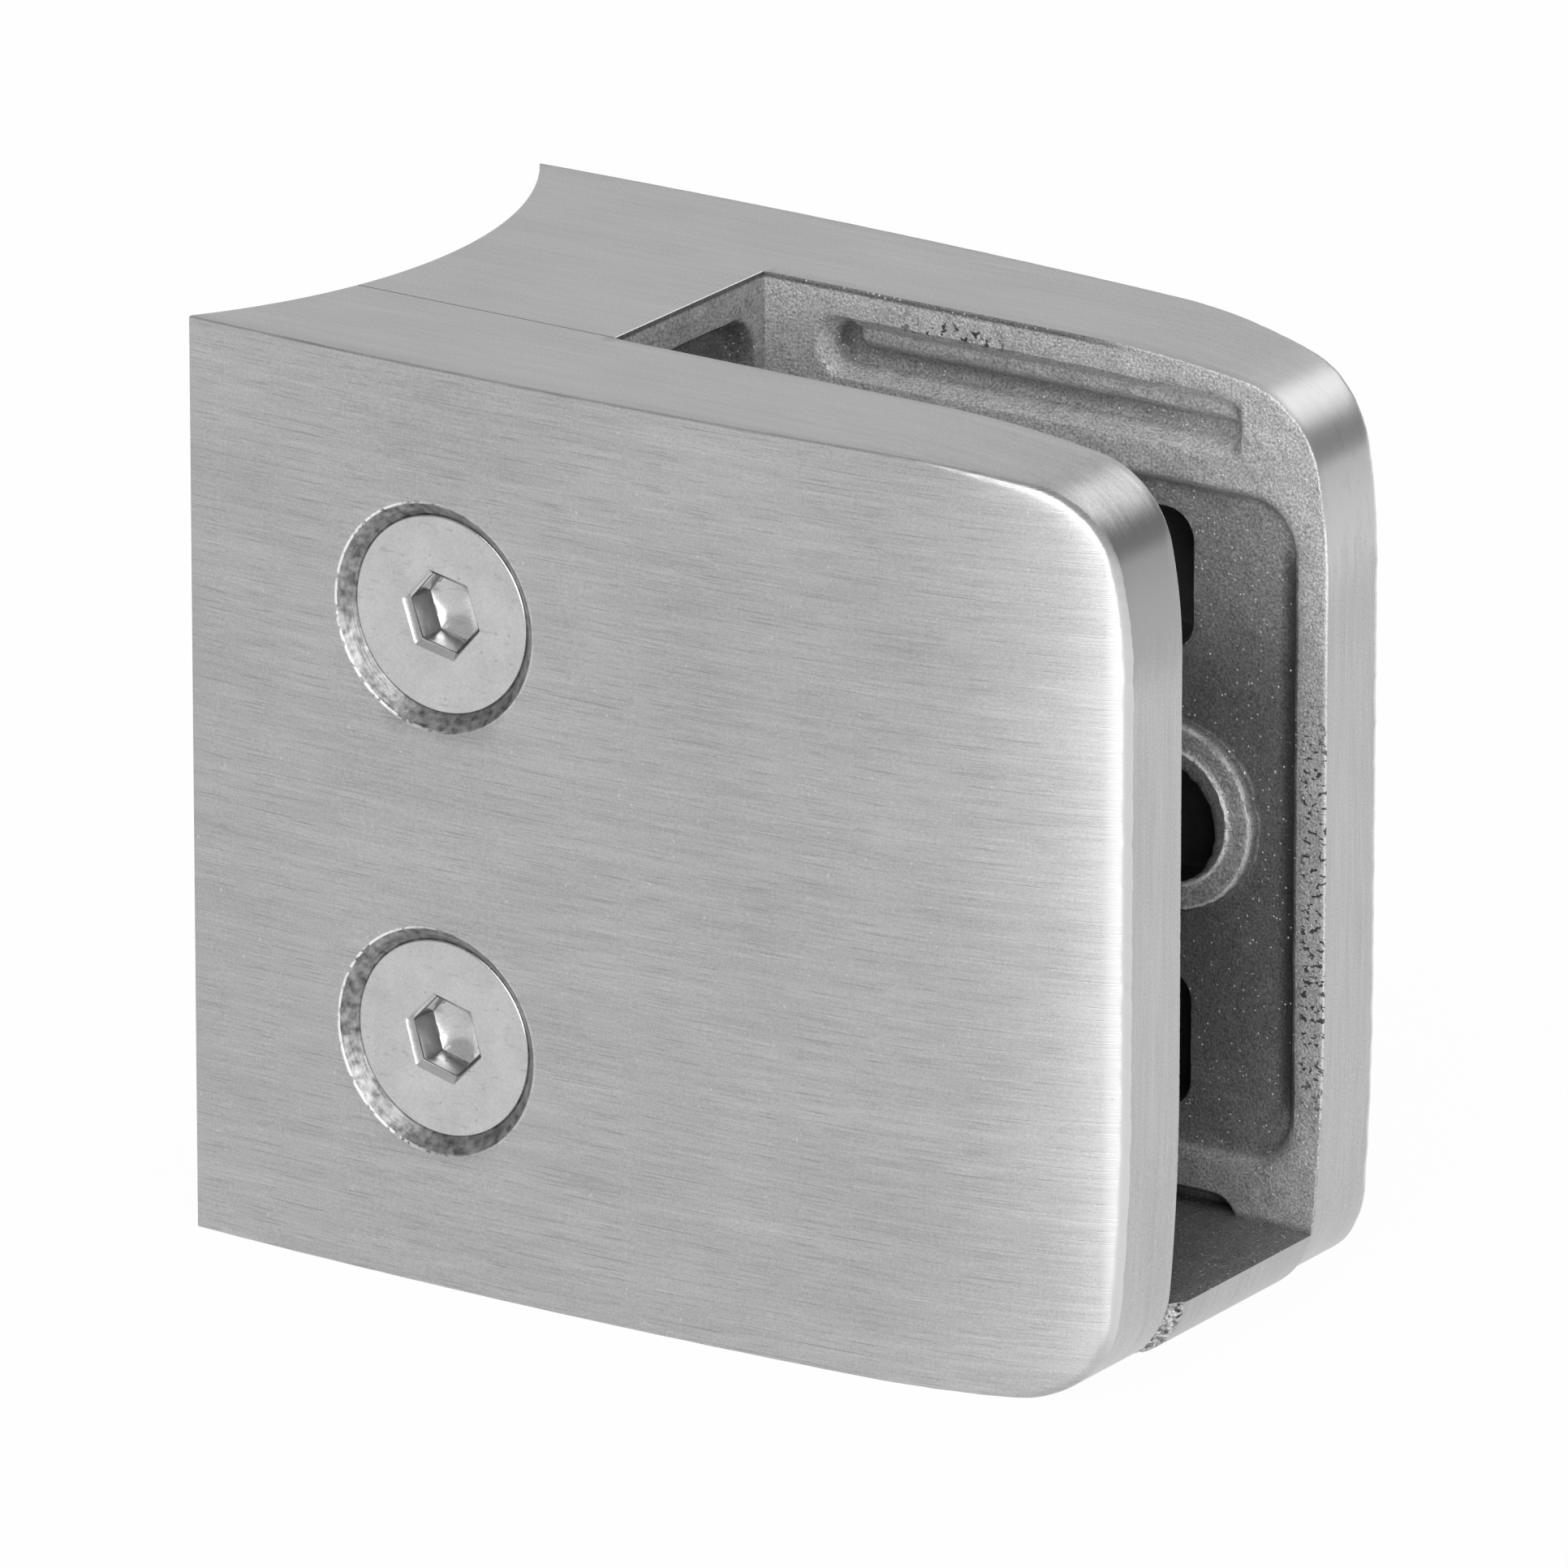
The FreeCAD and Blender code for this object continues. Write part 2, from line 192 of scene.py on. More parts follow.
def outer_draw_in(points, strip_rows):
    """Distance that each ring of the outer face is drawn in: a round plus a soft cubic roll."""
    radius, softness = rim_wear(points)
    distance = np.full(strip_rows, NO_EDGE)
    distance[: len(RINGS)] = RINGS
    distance = distance[:, None]
    return rounding(distance, radius) + softness * np.clip(1 - distance / 2.2, 0, 1) ** 3


def sunk(x, z, box, corner, wall):
    """0 outside a rounded rectangle, rising smoothly to 1 over a wall's width inside its edge."""
    x0, x1, z0, z1 = box
    qx = abs(x - (x0 + x1) / 2) - (x1 - x0) / 2 + corner
    qz = abs(z - (z0 + z1) / 2) - (z1 - z0) / 2 + corner
    outside = np.hypot(np.maximum(qx, 0), np.maximum(qz, 0)) + np.minimum(np.maximum(qx, qz), 0) - corner
    return ease(-outside / wall)


def core_depth(x, z):
    """Depth of a jaw's inner face below its plane: the lining's panel, a groove with a raised shelf
    above it and the same below it, and the uneven cast skin."""
    panel = PANEL_DEPTH * sunk(x, z, PANEL, 3.4, 1.0)
    upright = MIDDLE + abs(z - MIDDLE)
    groove = GROOVE_DEPTH * sunk(x, upright, GROOVE, 1.9, 0.9)
    shelf = SHELF_RISE * sunk(x, upright, SHELF, 1.0, 0.8)
    shelf = np.minimum(shelf, 0.5 * groove)
    skin = 0.028 * ripples(x, z, 3.4, 11) + 0.016 * ripples(x, z, 1.3, 12)
    return panel + groove - shelf + skin


def inner_sheet(side, strip, grid, edge_radius, joint_radius):
    """Inner face of a jaw as two nets of points, with its fine edge round and its cored hollows.

    Behind the web's front the face is flat, and its edge has the joint's own round.
    """
    nets = []
    for net, rings in ((strip, RINGS), (grid, RINGS[:0])):
        distance = np.full(net.shape[0], NO_EDGE)
        distance[: len(rings)] = rings
        distance = distance[:, None]
        x, z = net[..., 0], net[..., 1]
        free = np.clip((x - WEB_FRONT) / 0.6, 0, 1)
        clear = np.clip(distance / 0.6, 0, 1) * free
        radius = joint_radius + (edge_radius - joint_radius) * free
        depth = rounding(distance, radius) + core_depth(x, z) * clear
        nets.append(np.stack([x, side * (SLOT_HALF + depth), z], -1))
    return nets


def outer_sheet(side, strip, grid, draw_in):
    """Outer face of a jaw as two nets of points."""
    nets = []
    for net, inward in ((strip, draw_in), (grid, 0.0)):
        x, z = net[..., 0], net[..., 1]
        nets.append(np.stack([x, side * (half_width(x) - inward), z], -1))
    return nets


def between(first, second, shares):
    """Net of straight blends from one line of points to another."""
    shares = np.asarray(shares)[:, None, None]
    return first * (1 - shares) + second * shares


class Shell:
    """Gathers nets and polygons of one closed piece, with the number of each one's finish."""

    def __init__(self):
        self.points = []
        self.loops = []
        self.finishes = []
        self.count = 0

    def polygon(self, points, finish):
        self.points.append(points)
        self.loops.append([list(range(self.count, self.count + len(points)))])
        self.finishes.append([finish])
        self.count += len(points)

    def net(self, points, finish):
        rows, columns = points.shape[:2]
        index = self.count + np.arange(rows * columns).reshape(rows, columns)
        quads = np.stack([index[:-1, :-1], index[1:, :-1], index[1:, 1:], index[:-1, 1:]], -1)
        self.points.append(points.reshape(-1, 3))
        self.loops.append(quads.reshape(-1, 4).tolist())
        self.finishes.append(np.broadcast_to(finish, quads.shape[:2]).ravel().tolist())
        self.count += rows * columns

    def planks(self, points, finish):
        """A net with every eighth column; the two end faces keep every border point."""
        last = points.shape[1] - 1
        kept = np.r_[0:last:8, last]
        self.polygon(np.concatenate([points[0], points[1, kept[::-1]]]), finish)
        self.net(points[1:-1, kept], finish)
        self.polygon(np.concatenate([points[-1], points[-2, kept[::-1]]]), finish)

    def piece(self, name, materials, cupped=False):
        """Welds what was gathered into one mesh with its faces outwards, and adds it to the scene.

        A cupped piece has its post side pushed in along X to the round of the post, by the full
        depth at x = 0 and by less and less up to the saddle's reach.
        """
        points = np.concatenate(self.points)
        if cupped:
            saddle = POST_X + np.sqrt(POST_RADIUS**2 - points[:, 1] ** 2)
            points[:, 0] += saddle * np.clip(1 - points[:, 0] / SADDLE_REACH, 0, 1)
        points[:, 0] -= LENGTH / 2
        mesh = bpy.data.meshes.new(name)
        mesh.from_pydata((points * 0.001).tolist(), [], sum(self.loops, []))
        for material in materials:
            mesh.materials.append(material)
        mesh.polygons.foreach_set("material_index", sum(self.finishes, []))
        work = bmesh.new()
        work.from_mesh(mesh)
        bmesh.ops.remove_doubles(work, verts=work.verts, dist=2e-6)
        bmesh.ops.recalc_face_normals(work, faces=work.faces)
        work.to_mesh(mesh)
        work.free()
        made = bpy.data.objects.new(name, mesh)
        bpy.context.scene.collection.objects.link(made)
        return made


class Value:
    """A socket of a material. Arithmetic on it adds Math nodes."""

    def __init__(self, tree, socket):
        self.tree = tree
        self.socket = socket

    def node(self, kind, settings, sockets, output=0):
        """Adds a node: its settings first, then the values or links of its sockets."""
        made = self.tree.nodes.new(kind)
        for name, value in settings.items():
            setattr(made, name, value)
        for name, value in sockets.items():
            if isinstance(value, Value):
                self.tree.links.new(value.socket, made.inputs[name])
            else:
                made.inputs[name].default_value = value
        return Value(self.tree, made.outputs[output])

    def math(self, operation, *others):
        return self.node("ShaderNodeMath", {"operation": operation}, dict(enumerate((self, *others))))

    def __add__(self, other):
        return self.math("ADD", other)

    def __sub__(self, other):
        return self.math("SUBTRACT", other)

    def __rsub__(self, other):
        return self.node("ShaderNodeMath", {"operation": "SUBTRACT"}, {0: other, 1: self})

    def __mul__(self, other):
        return self.math("MULTIPLY", other)

    __radd__ = __add__
    __rmul__ = __mul__

    def ramp(self, low, high):
        """0 below low, 1 above high and a smooth step between them."""
        sockets = {"Value": self, "From Min": low, "From Max": high}
        return self.node("ShaderNodeMapRange", {"interpolation_type": "SMOOTHSTEP"}, sockets)

    def scaled(self, size):
        """Coordinates in which one unit is the size given in millimetres, per axis; None is flat."""
        scale = [0.0 if length is None else 1000.0 / length for length in size]
        return self.node("ShaderNodeMapping", {}, {"Vector": self, "Scale": scale})

    def noise(self, size, detail=2.0, rough=0.5, bend=0.0):
        """Noise from 0 to 1 whose marks have a length in millimetres along each axis."""
        sockets = {"Vector": self.scaled(size), "Scale": 1.0, "Detail": detail}
        sockets |= {"Roughness": rough, "Distortion": bend}
        return self.node("ShaderNodeTexNoise", {}, sockets)

    def cells(self, size, output=0):
        """Cells of one width in millimetres: the distance from their points, or their colours."""
        sockets = {"Vector": self.scaled((size, size, size)), "Scale": 1.0}
        return self.node("ShaderNodeTexVoronoi", {}, sockets, output)

    def part(self, axis):
        """The x, y or z part in millimetres."""
        parts = self.node("ShaderNodeSeparateXYZ", {}, {"Vector": self}, "XYZ".index(axis))
        return parts * 1000.0

    def grey(self, dark, light):
        """A grey between two values where this goes from 0 to 1."""
        sockets = {"Factor": self, 6: (dark, dark, dark, 1.0), 7: (light, light, light, 1.0)}
        return self.node("ShaderNodeMix", {"data_type": "RGBA"}, sockets, 2)

    def toned(self, share, grey=0.02):
        """This colour mixed with a grey by a share from 0 to 1."""
        sockets = {"Factor": share, 6: self, 7: (grey, grey, grey, 1.0)}
        return self.node("ShaderNodeMix", {"data_type": "RGBA"}, sockets, 2)

    def near(self, middle, reach):
        """1 near a middle value, falling to 0 at a reach away from it."""
        return 1 - (self - middle).math("ABSOLUTE").ramp(reach * 0.4, reach)

    def from_axis(self, x, z):
        """Distance in millimetres from an axis along Y, of a place on the object."""
        sockets = {0: self, 1: (1.0, 0.0, 1.0)}
        flat = self.node("ShaderNodeVectorMath", {"operation": "MULTIPLY"}, sockets)
        axis = ((x - LENGTH / 2) * 0.001, 0.0, z * 0.001)
        apart = flat.node("ShaderNodeVectorMath", {"operation": "DISTANCE"}, {0: flat, 1: axis}, 1)
        return apart * 1000.0

    def bump(self, depth):
        """Bump whose height from 0 to 1 is a depth in millimetres."""
        sockets = {"Height": self, "Strength": 1.0, "Distance": depth * 0.001}
        return self.node("ShaderNodeBump", {}, sockets)


def new_steel(name):
    """A new metal material: gives it, its shader and the place on the object. Places in the
    materials are the frame's, so that their x is from the middle of the length."""
    material = bpy.data.materials.new(name)
    material.use_nodes = True
    shader = material.node_tree.nodes["Principled BSDF"]
    shader.inputs["Metallic"].default_value = 1.0
    coordinates = material.node_tree.nodes.new("ShaderNodeTexCoord")
    return material, shader, Value(material.node_tree, coordinates.outputs["Object"])


def dress(shader, sockets):
    """Sets or links the sockets of a shader."""
    for name, value in sockets.items():
        if isinstance(value, Value):
            value.tree.links.new(value.socket, shader.inputs[name])
        else:
            shader.inputs[name].default_value = value


def chosen_cells(place, size, low, high, near, far):
    """Small round marks: the cells of one size whose random number is above low to high, each
    full up to a near distance from its middle, in parts of the size, and gone at a far one."""
    colours = place.cells(size, output=1)
    number = colours.node("ShaderNodeSeparateColor", {}, {"Color": colours})
    return (1 - place.cells(size).ramp(near, far)) * number.ramp(low, high)


def from_screw(place):
    """Distance in millimetres from the nearer screw's axis, on the cover; far away elsewhere."""
    upper, lower = [place.from_axis(SCREW_X, height) for height in SCREW_HEIGHTS]
    return upper.math("MINIMUM", lower) + 50.0 * place.part("Y").ramp(-14.0, -13.0)


def burr_highlight(place):
    """Painted highlight on the ragged burr round the mouths of the two screw holes, weaker on
    their front side.
    """
    uneven = place.noise((0.4, 0.4, 0.4), detail=2.0).ramp(0.36, 0.52)
    weaker_in_front = 1 - 0.8 * place.part("X").ramp(-17.0, -11.5)
    return from_screw(place).near(6.77, 0.1) * uneven * weaker_in_front


def brushed_face():
    """Outer faces: belt lines along X with dark and light hairs, soft clouds, and specks that
    crowd towards the front edge; a painted highlight grows towards the front and is strongest
    along the front edge, where the face rolls round."""
    material, shader, place = new_steel("brushed_face")
    fine = place.noise((5, None, 0.14), detail=3.0)
    hair = place.noise((3.4, None, 0.08), detail=1.0)
    long_hair = place.noise((9, None, 0.11), detail=1.0)
    coarse = place.noise((22, None, 0.9), detail=2.0)
    cloud = place.noise((12, None, 6), detail=3.0)
    grain = place.noise((0.13, 0.13, 0.13), detail=1.0)
    dark = hair.ramp(0.6, 0.72) + long_hair.ramp(0.64, 0.74)
    light = 1 - hair.ramp(0.27, 0.38)
    x = place.part("X")
    # Painted highlight: brighter towards the front, and most along the front edge where the face rolls
    # round.
    edge = x.ramp(26.0, 30.0)
    front_band_highlight = x.ramp(28.9, 29.9)
    specks = chosen_cells(place, 0.4, 0.965, 0.975, 0.1, 0.28)
    crowd = chosen_cells(place, 0.17, 0.72, 0.8, 0.15, 0.45) * x.ramp(23.0, LENGTH / 2)
    tone = 0.5 + 0.9 * (fine - 0.5) + 0.5 * (coarse - 0.5) + 0.5 * (cloud - 0.5) + 0.9 * (grain - 0.5)
    tone += 0.3 * light - 0.45 * dark + 0.6 * specks + 0.4 * crowd + 0.45 * edge + 0.5 * front_band_highlight
    # The base colour carries the painted front highlight and the painted highlight on the holes' burr.
    dress(shader, {
        "Base Color": tone.grey(0.34, 0.56).toned(0.4 * front_band_highlight, 0.9).toned(burr_highlight(place), 0.9),
        "Roughness": 0.34 + 0.12 * (fine - 0.5) - 0.1 * specks,
        "Normal": (fine + grain * 0.4 - dark * 0.5 + specks * 0.5).bump(0.006),
        "Anisotropic": 0.6,
        "Anisotropic Rotation": 0.25,
    })
    return material


def brushed_rim():
    """Top, front and underside: lines that run round the rim at one y, streaky at the corners,
    with a dark joint against the cover, a painted highlight on the web's top front edge, painted
    shade a little towards the top and on the ledge's front, painted light on the far jaw's corner
    and painted shade low on the near jaw's corner."""
    material, shader, place = new_steel("brushed_rim")
    coarse = place.noise((14, 0.5, 14), detail=3.0)
    fine = place.noise((6, 0.1, 6), detail=2.0)
    cloud = place.noise((9, 4, 9), detail=3.0)
    grain = place.noise((0.13, 0.13, 0.13), detail=1.0)
    streaks = place.noise((1.3, 0.35, 1.3), detail=4.0) - 0.5
    x, y, z = (place.part(axis) for axis in "XYZ")
    web_x = WEB_FRONT - LENGTH / 2
    inside = 1 - y.math("ABSOLUTE").ramp(SLOT_HALF - 0.2, SLOT_HALF + 0.1)
    ledge = (1 - z.ramp(LEDGE_TOP + 0.1, LEDGE_TOP + 0.5)) * inside
    joint = y.near(-SLOT_HALF, 0.07) * (1 - x.ramp(web_x - 0.2, web_x))
    # Painted highlight: a bright line along the web's top front edge.
    web_edge_highlight = x.near(web_x, 0.16) * inside * z.ramp(HEIGHT - 0.5, HEIGHT - 0.2)
    # Painted shade, a little towards the top and on the ledge's front, together with the real dark
    # joint.
    shade = 0.12 * z.ramp(46.0, 54.0) + 0.12 * ledge + 0.8 * joint
    # Painted light on the far jaw's corner and painted shade low on the near jaw's corner, over real
    # streaks.
    corner = x.ramp(22.5, 27.0) * z.ramp(41.0, 47.0)
    far = y.ramp(-1.0, 1.0)
    lower_bend = 1 - z.ramp(50.5, 52.0)
    tone = 0.5 + 0.5 * (coarse - 0.5) + (fine - 0.5) + 0.5 * (cloud - 0.5) + 1.1 * (grain - 0.5)
    tone += corner * (1.5 * streaks - 0.1 + 0.75 * far - 0.75 * (1 - far) * lower_bend)
    dress(shader, {
        "Base Color": tone.grey(0.4, 0.6).toned(shade).toned(web_edge_highlight * fine.ramp(0.3, 0.45), 0.95),
        "Roughness": 0.29 + 0.12 * fine,
        "Normal": (coarse * 0.5 + fine * 0.5 + grain * 0.3).bump(0.006),
    })
    return material


def cast_skin():
    """Shot-blasted casting: fine round grain with small painted glints, black pores along the front
    rim of the cheek and in the land above the groove, painted highlights on the cheek's front
    edge and on the rings of the pin boss, a darker line along the top edge, and painted shade in
    the panel and its front wall, in the grooves, on the web, on the ledge and low on the rim."""
    material, shader, place = new_steel("cast_skin")
    grain = place.noise((0.16, 0.16, 0.16), detail=2.0, rough=0.6)
    lumps = place.noise((0.8, 0.8, 0.8), detail=3.0)
    # Painted glints: small bright cells that stay bright in the painted shade.
    glint = chosen_cells(place, 0.2, 0.93, 0.94, 0.2, 0.4)
    x, z = place.part("X"), place.part("Z")
    depth = place.part("Y").math("ABSOLUTE") - SLOT_HALF

    holes = place.noise((0.5, 0.5, 0.36), detail=4.0, bend=0.8).ramp(0.57, 0.595)
    front_zone = x.ramp(28.3, 28.9) * z.ramp(8.0, 15.0) * (1 - z.ramp(32.0, 38.0))
    land_zone = z.ramp(52.9, 53.2) * (1 - z.ramp(53.9, 54.3))
    land_zone *= 1 - (x - 5.0).math("ABSOLUTE").ramp(2.0, 5.0)
    pores = holes * (front_zone + land_zone)

    # Painted shade where less light reaches into the slot: the panel and its front wall, the grooves,
    # the web, the ledge and low on the rim.
    panel = depth.ramp(0.1, 0.95) * (1 - z.ramp(47.4, 48.4))
    panel *= 0.62 + 0.1 * z.ramp(9.0, 17.0) - 0.32 * z.ramp(34.0, 45.0)
    wall = x.ramp(26.3, 27.2) * (1 - x.ramp(28.25, 28.4)) * (1 - z.ramp(43.0, 45.5)) * z.ramp(9.5, 12.0)
    groove_end = x.ramp(23.5, 24.0) * (1 - x.ramp(24.4, 24.6))
    groove_end *= z.ramp(49.6, 50.2) * (1 - z.ramp(52.6, 53.2))
    upper = z.ramp(48.8, 49.6) * (0.52 - 0.15 * x.ramp(12.0, 24.0) + 0.25 * (1 - x.ramp(-3.4, -2.2)))
    lower = 0.85 * (1 - z.ramp(5.8, 6.4)) * x.ramp(21.6, 22.8)
    groove = depth.ramp(0.75, 1.55) * (upper + lower)

    # A darker line along the top edge of the inner face, following the droop.
    past_droop = (x - 13.0).math("MAXIMUM", 0.0)
    level = z + past_droop * past_droop * 0.0068
    top_edge_dark_line = level.ramp(54.6, 54.8) * (1 - x.ramp(13.0, 19.0)) * (1 - depth.ramp(0.3, 0.5))
    # Painted highlights: a bright line along the cheek's front edge, and bright rings on the edges of
    # the pin boss.
    lip_highlight = x.ramp(30.0, 30.15) * (1 - z.ramp(46.0, 49.0))
    from_pin = place.from_axis(PIN_X, PIN_HEIGHT)
    boss_edge_highlight = (from_pin.near(5.5, 0.14) + from_pin.near(4.12, 0.15)) * (1 - depth.ramp(0.4, 0.6))
    boss_edge_highlight *= place.noise((0.7, 0.7, 0.7), detail=2.0).ramp(0.3, 0.5)
    web = 1 - x.ramp(-8.1, -7.7)
    ledge = 1 - z.ramp(LEDGE_TOP + 0.1, LEDGE_TOP + 0.5)
    rim = (1 - depth.ramp(0.2, 0.5)) * (1 - z.ramp(34.0, 49.0))
    clear = (1 - 0.72 * web) * (1 - 0.5 * ledge) * (1 - 0.24 * rim) * (1 - 0.7 * top_edge_dark_line)
    clear *= 1 - 0.72 * (wall + 0.6 * groove_end)
    # Painted shade, together with the real black pores; the painted glints and boss highlights stay out
    # of it.
    shade = 1 - (1 - panel) * (1 - groove) * clear * (1 - 0.9 * pores)
    tone = 0.5 + (grain - 0.5) * 2.3 + (lumps - 0.5) * 0.5 + glint * 0.9 + lip_highlight * 0.5 + boss_edge_highlight * 0.45
    dress(shader, {
        "Base Color": tone.grey(0.3, 0.85).toned(shade * (1 - glint) * (1 - boss_edge_highlight * 0.7)),
        "Roughness": 0.5 - 0.25 * glint,
        "Metallic": 0.4,
        "Normal": (grain * 0.8 + lumps * 0.5 + glint * 0.3 - pores * 1.5).bump(0.08),
    })
    return material


def bored():
    """Drilled and milled faces: fine tool marks, and chatter in the countersinks."""
    material, shader, place = new_steel("bored")
    marks = place.noise((1.6, 0.12, 1.6), detail=2.0)
    patches = place.noise((0.5, 0.5, 0.5), detail=4.0)
    chatter = 0.5 + 1.9 * (1 - from_screw(place).ramp(7.0, 7.4))
    tone = marks * 0.5 + (patches - 0.5) * chatter + 0.25
    # The burr line in the base colour is a painted highlight.
    dress(shader, {
        "Base Color": tone.grey(0.1, 0.38).toned(burr_highlight(place), 0.9),
        "Roughness": 0.26 + 0.2 * patches,
        "Normal": (marks + patches).bump(0.02),
    })
    return material


def broken():
    """Where the ledge broke off: coarse bright and dark facets."""
    material, shader, place = new_steel("broken_steel")
    facets = place.cells(0.24, output=1)
    height = place.cells(0.24)
    tone = facets.node("ShaderNodeSeparateColor", {}, {"Color": facets})
    dress(shader, {
        "Base Color": tone.grey(0.06, 0.8),
        "Roughness": 0.25 + 0.3 * tone,
        "Normal": height.bump(0.1),
    })
    return material


def deep_core():
    """Inside of the pin hole and the key holes: cast grain, nearly black as painted shade
    deep in the holes.
    """
    material, shader, place = new_steel("deep_core")
    grain = place.noise((0.16, 0.16, 0.16), detail=2.0)
    lumps = place.noise((0.9, 0.9, 0.9), detail=3.0)
    dress(shader, {
        "Base Color": (grain * 0.5 + lumps * 0.5).grey(0.02, 0.07),
        "Roughness": 0.55 + 0.2 * lumps,
        "Metallic": 0.6,
        "Normal": (grain + lumps).bump(0.03),
    })
    return material


FACE_FINISH, RIM_FINISH, CAST_FINISH, BORED_FINISH, BROKEN_FINISH, DEEP_FINISH = range(6)
castings = [brushed_face(), brushed_rim(), cast_skin(), bored(), broken(), deep_core()]

top_x = np.r_[np.linspace(0, WEB_FRONT, 25)[:-1], np.linspace(WEB_FRONT, 54.4, 107)]
web_index = 24
outline, facing, corner_index = jaw_outline(LOWER_CORNER, top_x)
strip, grid = face_net(outline, facing, corner_index)
draw_in = outer_draw_in(outline, len(strip))
JAW_SHARES = np.linspace(0, 1, 9)
JOINT_ROUND = 0.02


def add_jaw_skin(shell, outer, inner):
    """Outer face and rim of a jaw, and its part of the saddle."""
    shell.net(outer[0], FACE_FINISH)
    shell.planks(outer[1], FACE_FINISH)
    shell.net(between(outer[0][0], inner[0][0], JAW_SHARES), RIM_FINISH)
    shell.net(between(column(*outer, 0), column(*inner, 0), JAW_SHARES), BORED_FINISH)


def add_cheek(shell, inner):
    """Cored part of a jaw's inner face, in front of the web."""
    last = inner[0].shape[1] - 1
    shell.net(inner[0][:, web_index : last - web_index + 1], CAST_FINISH)
    shell.net(inner[1][web_index:], CAST_FINISH)


def add_joint_face(shell, sheet):
    """Flat part of a face where cover and web lie against each other."""
    last = sheet[0].shape[1] - 1
    shell.net(sheet[0][:, : web_index + 1], BORED_FINISH)
    shell.net(sheet[0][:, last - web_index :], BORED_FINISH)
    shell.planks(sheet[1][: web_index + 1], BORED_FINISH)


def joint_sheet(strip, grid):
    """Flat face of the web towards the cover; its fine edge round shows as half of the hairline."""
    distance = np.full(strip.shape[0], NO_EDGE)
    distance[: len(RINGS)] = RINGS
    across = rounding(distance, JOINT_ROUND)[:, None] - SLOT_HALF + 0 * strip[..., 0]
    rings = np.stack([strip[..., 0], across, strip[..., 1]], -1)
    middle = np.stack([grid[..., 0], np.full(grid.shape[:2], -SLOT_HALF), grid[..., 1]], -1)
    return [rings, middle]


body_shell = Shell()
outer = outer_sheet(1, strip, grid, draw_in)
inner = inner_sheet(1, strip, grid, 0.1, 1e-6)
joint = joint_sheet(strip, grid)
add_jaw_skin(body_shell, outer, inner)
add_cheek(body_shell, inner)
add_joint_face(body_shell, joint)

web_y = np.r_[
    np.linspace(7.5, 6.4, 4)[:-1],
    np.linspace(6.4, 5.0, 7)[:-1],
    np.linspace(5.0, -5.0, 13)[:-1],
    np.linspace(-5.0, -6.4, 7)[:-1],
    np.linspace(-6.4, -7.5, 4),
]
web_shares = (SLOT_HALF - web_y) / (2 * SLOT_HALF)
last = outline.shape[0] - 1
for part in (slice(0, web_index + 1), slice(last - web_index, last + 1)):
    body_shell.net(between(inner[0][0][part], joint[0][0][part], web_shares), RIM_FINISH)
body_shell.net(between(column(*inner, 0), column(*joint, 0), web_shares), BORED_FINISH)
web = between(column(*inner, web_index), column(*joint, web_index), web_shares)
pocket = sunk(web[..., 1], web[..., 2], (-6.6, 6.7, LEDGE_TOP + 2.6, HEIGHT - 2.1), 2.6, 1.0)
skin = 0.03 * ripples(web[..., 1], web[..., 2], 2.2, 21)
inside = np.clip((SLOT_HALF - abs(web[..., 1])) / 0.6, 0, 1)
inside *= np.clip((MIDDLE - abs(web[..., 2] - MIDDLE)) / 0.6, 0, 1)
web[..., 0] -= (1.6 * pocket + skin) * inside
body_shell.net(web, CAST_FINISH)
body = body_shell.piece("cast_body", castings, cupped=True)

# The ledge is part of the same casting. Its corner is a little fuller than the jaws', and follows
# the far jaw's own where it runs into it. Its near end is broken off rough along the cover.
LEDGE_BACK = WEB_FRONT - 0.6
LIP_FROM = 45.0
FULL_FROM = 40.0
BREAK_WIDTH = 1.9
BREAK_SLOPE = 0.6
under_x = np.r_[0, np.linspace(LEDGE_BACK, 54.4, 34)]
ledge_line, ledge_facing, _ = jaw_outline(LEDGE_CORNER, under_x)
front = ledge_line[len(ledge_line) // 2 : -1]
lip_x = np.interp(-LEDGE_TOP, -front[:, 1], front[:, 0])
below = front[:, 1] < LEDGE_TOP - 0.05
front_facing = ledge_facing[len(ledge_line) // 2 : -1][below]
front = np.maximum(front[below], (0, 0.01))
top_x = np.r_[np.linspace(LEDGE_BACK, lip_x - 3, 60)[:-1], np.linspace(lip_x - 3, lip_x, 16)]
top = np.stack([top_x, np.full_like(top_x, LEDGE_TOP)], -1)
section = np.concatenate([top, front, top[:1]])
ledge_y = np.r_[
    np.linspace(-7.5, -5.2, 24)[:-1],
    np.linspace(-5.2, 7.2, 36)[:-1],
    np.linspace(7.2, 9.6, 17),
]
ledge = np.empty((len(ledge_y), len(section), 3))
ledge[..., 0] = section[:, 0]
ledge[..., 1] = ledge_y[:, None]
ledge[..., 2] = section[:, 1]
x, y, z = np.moveaxis(ledge, -1, 0)
jaw_x = np.interp(-section[:, 1], -outline[last // 2 :, 1], outline[last // 2 :, 0])
full = section[:, 0] > FULL_FROM
merge = ease((ledge_y - 7.3) / 0.5)[:, None] * full
ledge[..., 0] += np.where(section[:, 1] < LEDGE_TOP - 0.05, (jaw_x - 0.03 - x) * merge, 0)
on_top = section[:, 1] > LEDGE_TOP - 0.01
skin = 0.03 * ripples(x, y, 2.4, 31) + 0.015 * ripples(x, y, 1.1, 32)
skin *= np.clip((lip_x - x) / 0.5, 0, 1)
skin *= np.clip((SLOT_HALF - y) / 0.5, 0, 1)
ledge[..., 2] += np.where(on_top, skin, 0)

